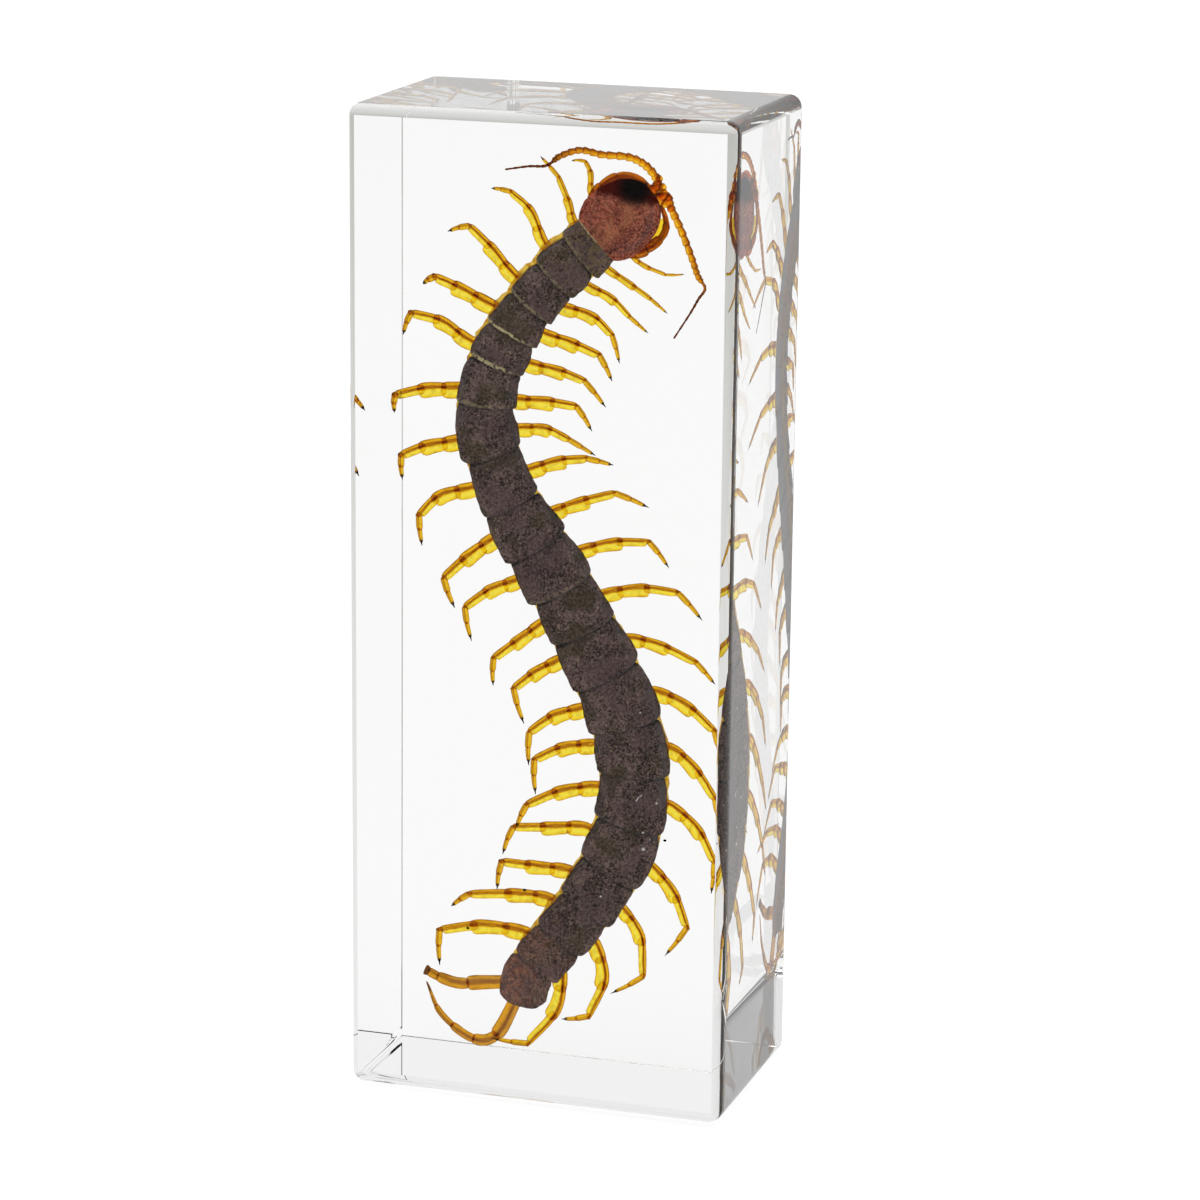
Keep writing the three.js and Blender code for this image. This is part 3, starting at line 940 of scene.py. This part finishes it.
# The head plate is a round shield, arched and with a blunt front
def addHeadPlate(bm):
    middle, ahead, right = headFrame()
    told = bm.verts.layers.float_vector["place"]
    made = bmesh.ops.create_uvsphere(bm, u_segments=56, v_segments=30, radius=1)["verts"]
    for vert in made:
        x, y, z = vert.co
        away = math.hypot(x, y)
        if away > 1e-6:
            n = head["squareness"]
            spread = 1 / ((abs(x / away) ** n + abs(y / away) ** n) ** (1 / n))
            x, y = x * spread, y * spread
        half = head["halfWidth"] * (1 - head["frontTaper"] * y - head["endTaper"] * y * y)
        thick = head["rise"] * head["topShare" if z > 0 else "underShare"]
        thick *= 1 - head["frontThinner"] * y
        z = math.copysign((1 - min(away, 1) ** head["flatness"]) ** head["edgePower"], z)
        groove = bell(x, 0, head["grooveSpread"], head["grooveDepth"]) * max(0, z)
        vert[told] = (x, (y + 1) / 2, away)
        vert.co = (middle + ahead * y * head["halfLength"] + right * x * half
                   - deepWay * (z * thick - groove + head["lift"]))


# The claws under the head curve forward round its sides and end in dark tips
jaws = (
    {"side": 1,
     "path": ((5.6, 94.6, 0.8), (7.6, 94.3, 0.7), (9.2, 94.7, 0.6), (10.5, 95.6, 0.6),
              (11.3, 96.8, 0.6), (11.25, 98.2, 0.6), (10.7, 99.5, 0.6)),
     "parts": ((0.0, 2.1, 0.7, 0.8), (1.95, 3.3, 0.62, 0.5), (3.2, 4.6, 0.40, 0.38),
               (4.5, 6.0, 0.36, 0.2))},
    {"side": -1,
     "path": ((2.4, 97.3, 0.8), (2.8, 98.9, 0.7), (3.6, 100.5, 0.6), (4.9, 101.8, 0.6),
              (6.5, 102.5, 0.6), (8.1, 102.3, 0.6), (9.3, 101.5, 0.6)),
     "parts": ((0.0, 1.5, 0.62, 0.7), (1.4, 2.6, 0.6, 0.62), (2.5, 3.7, 0.56, 0.5),
               (3.6, 6.0, 0.46, 0.3))},
)
# A clear yellow fold lies inside the right claw
jawFold = {
    "side": 1,
    "path": ((9.3, 95.2, 0.4), (10.4, 95.9, 0.4), (11.0, 96.9, 0.4), (10.9, 98.0, 0.4)),
    "parts": ((0, 3, 0.72, 0.72),),
}
# Under the head the bases of the claws meet in one broad plate
jawBase = {"depth": 1.5, "back": -3.6, "front": 1.9, "halfWidth": 3.1, "frontShare": 0.8,
           "halfDeep": 0.62, "apart": 0.98}


def addJawBase(bm):
    middle, ahead, right = headFrame()
    for side in (-1, 1):
        rings = []
        for share, scale in limbEnds:
            along = mix(jawBase["back"], jawBase["front"], share)
            half = jawBase["halfWidth"] / 2 * scale * mix(1.0, jawBase["frontShare"], share)
            centre = (middle + ahead * along + right * side * half * jawBase["apart"]
                      + deepWay * jawBase["depth"])
            rings.append((centre, ahead, (half, half, jawBase["halfDeep"] * scale), (share, 0)))
        addBody(bm, rings, 24)


# Short thick beads at the roots of the antennae: across, height and half size
antennaRoots = ((8.9, 100.2, 0.72), (9.7, 100.9, 0.7), (9.6, 99.6, 0.74), (10.5, 100.1, 0.68),
                (10.3, 101.5, 0.6), (11.0, 100.6, 0.6), (9.2, 101.3, 0.5), (11.3, 99.7, 0.5),
                (10.9, 101.4, 0.42), (11.6, 100.3, 0.4), (10.5, 102.3, 0.4), (11.8, 99.1, 0.36))
rootDepth = 0.2


def addAntennaRoots(bm):
    _, ahead, _ = headFrame()
    for across, height, size in antennaRoots:
        middle = spot(across, height, rootDepth)
        rings = []
        for share, scale in limbEnds:
            width = size * scale * math.sin(math.pi * mix(0.12, 0.88, share)) ** 0.5
            centre = mix(middle - ahead * size, middle + ahead * size, share)
            rings.append((centre, ahead, (width, width, width), (share * 0.4, 0)))
        addBody(bm, rings, 18)


makePiece("head_plate", headCuticle, addHeadPlate)
makePiece("poison_claws", jawAmber, addLimbs, jaws, 20, 0.9, 1)
makePiece("claw_base", bellyCuticle, addJawBase)
makePiece("antenna_roots", feelerAmber, addAntennaRoots)
makePiece("jaw_fold", foldAmber, addLimbs, [jawFold], 16, 0.6, 0)


# Antennae are strings of short beads that get thinner. From thinFrom on, a share of its
# length, an antenna is a thin thread of beads.
antennae = {
    "antenna_left": {
        "side": -1,
        "thinFrom": 0.72,
        "path": ((9.7, 100.6), (10.3, 102.0), (9.1, 103.6), (7.2, 104.5), (4.2, 104.7),
                 (1.8, 105.1), (-0.4, 104.4), (-1.9, 103.35), (-3.9, 103.2), (-6.4, 102.8)),
    },
    "antenna_right": {
        "side": 1,
        "thinFrom": 0.6,
        "path": ((10.1, 100.2), (11.4, 100.4), (11.9, 99.1), (13.1, 96.6), (14.2, 93.9),
                 (14.9, 92.0), (15.7, 90.7), (15.0, 89.5), (14.1, 87.9), (12.4, 85.2)),
    },
}
feeler = {"beads": 26, "overlap": (0.05, 0.08), "sides": 14, "told": 1.7, "rootHalf": 0.52,
          "neckHalf": 0.34, "threadHalf": 0.19, "tipHalf": 0.1, "beadFlare": (0.8, 1.08)}


def feelerHalf(thinFrom, share):
    if share < thinFrom:
        return mix(feeler["rootHalf"], feeler["neckHalf"], max(share / thinFrom, 0))
    return mix(feeler["threadHalf"], feeler["tipHalf"], (share - thinFrom) / (1 - thinFrom))


def addAntenna(bm, antenna):
    points = [spot(*place) for place in antenna["path"]]
    span = len(points) - 1
    before, after = feeler["overlap"]
    for bead in range(feeler["beads"]):
        rings = []
        for share, scale in limbEnds:
            place = mix(bead - before, bead + 1 + after, share) / feeler["beads"] * span
            width = feelerHalf(antenna["thinFrom"], place / span) * mix(*feeler["beadFlare"], share)
            width *= scale
            rings.append((onCurve(points, place), headingOn(points, place),
                          (width, width, width), (place / span * feeler["told"], 0)))
        addBody(bm, rings, feeler["sides"], antenna["side"])


for name, antenna in antennae.items():
    makePiece(name, feelerAmber, addAntenna, antenna)
print("head made")


# Near-white specks, painted highlights that stand in for small glints, and dark specks of dust lie on
# the animal and in the resin beside it: across, height, how far in front of the plane, length, width
# and the turn of the length
specks = {
    "painted_glint_specks": ((11.1, 33.4, 1.75, 0.14, 0.12, 0), (8.9, 33.8, 2.0, 0.4, 0.07, 60),
                  (9.3, 34.2, 2.0, 0.2, 0.06, 40), (9.6, 30.0, 1.95, 0.18, 0.12, 20),
                  (9.65, 28.1, 2.0, 0.22, 0.2, 0), (4.9, 22.3, 1.7, 0.14, 0.1, 0),
                  (9.1, 43.7, 2.0, 0.14, 0.08, 30), (10.4, 29.2, 1.9, 0.08, 0.08, 0)),
    "dust_dark": ((12.2, 28.9, 0.2, 0.2, 0.14, 0), (-10.3, 17.2, -0.6, 0.2, 0.16, 0),
                  (-3.8, 22.2, 0.1, 0.2, 0.16, 0), (9.5, 29.1, 1.95, 0.2, 0.14, 0)),
}
dustAndGlintLook = {
    # near-white: painted highlight for the small glints
    "painted_glint_specks": ink(250, 248, 240),
    "dust_dark": ink(24, 12, 6),
    "wear": ((4000, 2, 0.5), (0.3, 0.7, 0.75, 1.0)),
    "roughness": 0.7,
    "thickness": 0.6,          # a share of the width
}


# Takes a colour darker in soft blotches
def makeWearGroup():
    group, start, end = newGroup("speckWear", {"Colour": "Color"}, {"Colour": "Color"})
    kept = addBlotches(group, *dustAndGlintLook["wear"])
    toned = addColourMix(group, kept, (0, 0, 0, 1), start.outputs["Colour"])
    group.links.new(toned, end.inputs["Colour"])
    return group


wearGroup = makeWearGroup()


# Material for the dark dust specks and for the near-white specks that are painted highlights
def makeDustAndGlint(name):
    material, tree, shader = newMaterial(name)
    worn = addNode(tree, "ShaderNodeGroup", node_tree=wearGroup)
    worn.inputs["Colour"].default_value = dustAndGlintLook[name]
    feedAll(tree, shader, {"Base Color": worn.outputs["Colour"], "Roughness": dustAndGlintLook["roughness"],
                           "IOR": cuticleIor})
    return material


def addSpecks(bm, rows):
    for across, height, front, length, width, turn in rows:
        made = bmesh.ops.create_icosphere(bm, subdivisions=2, radius=1)["verts"]
        sizes = (length, width * dustAndGlintLook["thickness"], width)
        for vert in made:
            vert.co = [reach * size for reach, size in zip(vert.co, sizes)]
        tilt = Matrix.Rotation(-math.radians(turn), 4, "Y")
        shift = Matrix.Translation(spot(across, height, -front))
        bmesh.ops.transform(bm, matrix=shift @ tilt, verts=made)


for name, rows in specks.items():
    makePiece(name, makeDustAndGlint(name), addSpecks, rows)


# The block is one clear casting with polished edges. Its corners, seen from above, go from the
# front right one round by the back. Each has the radius of its arc, which starts at a crease of
# so many degrees where it meets the face before it.
block = {
    "halfWidth": 21.5,
    "halfDepth": 13.5,
    "height": 110,
    "corners": ({"radius": 3.1, "crease": 45}, {"radius": 1.5, "crease": 0},
                {"radius": 0.08, "crease": 0}, {"radius": 0.8, "crease": 0}),
    "cornerSteps": 16,
    "bottomEdges": (1.5, 1.5, 0.08, 1.2),   # roundings at the front, right, back and left
    "topEdges": (1.2, 1.5, 1.0, 1.2),
    "edgeSteps": 10,
    "leastReach": 0.002,       # keeps the points of a sharp corner apart
    "flatShare": 0.5,          # faces larger than this share of a quarter of the plan are flat
}


# One ring of the block's skin, which is at share 0 on the sides and at share 1 on the top or
# the bottom
def blockRing(end, share):
    edges = block[end]
    lean = math.pi / 2 * share
    ring = []
    for number, corner in enumerate(block["corners"]):
        radius, crease = corner["radius"], math.radians(corner["crease"])
        before, after = edges[number], edges[(number + 1) % len(edges)]
        signX = 1 if number in (0, 1) else -1
        signY = 1 if number in (1, 2) else -1
        centreX = signX * (block["halfWidth"] - radius)
        centreY = signY * (block["halfDepth"] - radius * math.cos(crease))
        for step in range(block["cornerSteps"] + 1):
            along = step / block["cornerSteps"]
            rounding = mix(before, after, along)
            inset = rounding * (1 - math.cos(lean))
            first = 0.0
            if crease:
                first = math.acos((radius * math.cos(crease) - inset) / (radius - inset))
            turn = number * math.pi / 2 + mix(first, math.pi / 2, along)
            reach = max(radius - inset, block["leastReach"])
            rise = rounding * (1 - math.sin(lean))
            height = rise if end == "bottomEdges" else block["height"] - rise
            ring.append(Vector((centreX + reach * math.sin(turn), centreY - reach * math.cos(turn),
                                height)))
    return ring


def addBlock(bm):
    shares = [step / block["edgeSteps"] for step in range(block["edgeSteps"] + 1)]
    rings = [blockRing("bottomEdges", 1 - share) for share in shares]
    rings += [blockRing("topEdges", share) for share in shares]
    order = bm.verts.layers.int.new("order")
    loop = bmesh.ops.create_circle(bm, cap_ends=True, segments=len(rings[0]), radius=1)["verts"]
    for number, vert in enumerate(loop):
        vert[order] = number
    for number, ring in enumerate(rings):
        if number:
            loop = extrudeLoop(bm, loop)
        for vert in loop:
            vert.co = ring[vert[order]] * mm
    bmesh.ops.contextual_create(bm, geom=loopEdges(loop))
    bmesh.ops.recalc_face_normals(bm, faces=bm.faces)
    flatArea = block["flatShare"] * block["halfDepth"] * block["halfWidth"] * mm * mm
    for face in bm.faces:
        face.smooth = face.calc_area() < flatArea


shape = bmesh.new()
addBlock(shape)
resinBlock = makeObject("resin_block", shape, resin)
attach(resinBlock, "root")
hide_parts("resin_front", "resin_back")
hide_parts("centipede")
print("block made")


# Floor, light and camera
studio = {
    "floorHalf": 4.0,
    "floorDrop": 0.3 * mm,
    "floorColour": (0.15, 0.15, 0.15, 1),
    "floorGlow": 0.93,
    "behind": 1.05,            # the room's glow behind the block
    "cameraSide": 0.2,
    "glowTurn": (-0.5, 0.15),  # the share of +Y in the directions between which it changes
    "boxPower": 24,
    "boxSize": 1.6,
    "boxPlace": (-0.5, 0.1, 1.7),
    "boxTilt": math.radians(-16),
    "bounces": 24,
    "clearBounces": 12,
}
white = (1, 1, 1, 1)


def makeFloor():
    material, tree, shader = newMaterial("paleFloor")
    feedAll(tree, shader, {"Base Color": studio["floorColour"], "Roughness": 0.9,
                           "Specular IOR Level": 0.0, "Emission Color": white,
                           "Emission Strength": studio["floorGlow"]})
    bm = bmesh.new()
    bmesh.ops.create_grid(bm, x_segments=1, y_segments=1, size=studio["floorHalf"])
    bmesh.ops.translate(bm, vec=(0, 0, -studio["floorDrop"]), verts=bm.verts)
    makeObject("floor", bm, material)


def makeWorld():
    world = bpy.data.worlds.new("studio")
    bpy.context.scene.world = world
    world.use_nodes = True
    tree = world.node_tree
    parts = addNode(tree, "ShaderNodeSeparateXYZ")
    tree.links.new(addNode(tree, "ShaderNodeTexCoord").outputs["Generated"], parts.inputs["Vector"])
    glow = addRange(tree, parts.outputs["Y"], *studio["glowTurn"], studio["cameraSide"], studio["behind"])
    feedAll(tree, tree.nodes["Background"], {"Strength": glow, "Color": white})


def makeLight():
    light = bpy.data.lights.new("softBox", "AREA")
    light.size = studio["boxSize"]
    light.energy = studio["boxPower"]
    lamp = show(bpy.data.objects.new("softBox", light))
    lamp.location = studio["boxPlace"]
    lamp.rotation_euler = (0, studio["boxTilt"], 0)


view = {
    "place": Vector((139.998, -425.554, 165.162)) * mm,
    "azimuth": math.radians(17.854),
    "elevation": math.radians(13.879),
    "roll": math.radians(0.584),
    "lens": 125.05,
}


def makeCamera():
    lens = bpy.data.cameras.new("camera")
    lens.lens = view["lens"]
    lens.sensor_width = 36
    lens.clip_start = 0.01
    lens.clip_end = 20
    camera = show(bpy.data.objects.new("camera", lens))
    camera.matrix_world = (Matrix.Translation(view["place"]) @ Matrix.Rotation(view["azimuth"], 4, "Z")
                           @ Matrix.Rotation(math.pi / 2 - view["elevation"], 4, "X")
                           @ Matrix.Rotation(view["roll"], 4, "Z"))
    bpy.context.scene.camera = camera


makeFloor()
makeWorld()
makeLight()
makeCamera()
scene = bpy.context.scene
scene.view_settings.view_transform = "Standard"
scene.cycles.max_bounces = studio["bounces"]
scene.cycles.transmission_bounces = studio["bounces"]
scene.cycles.transparent_max_bounces = studio["clearBounces"]
print("studio made")
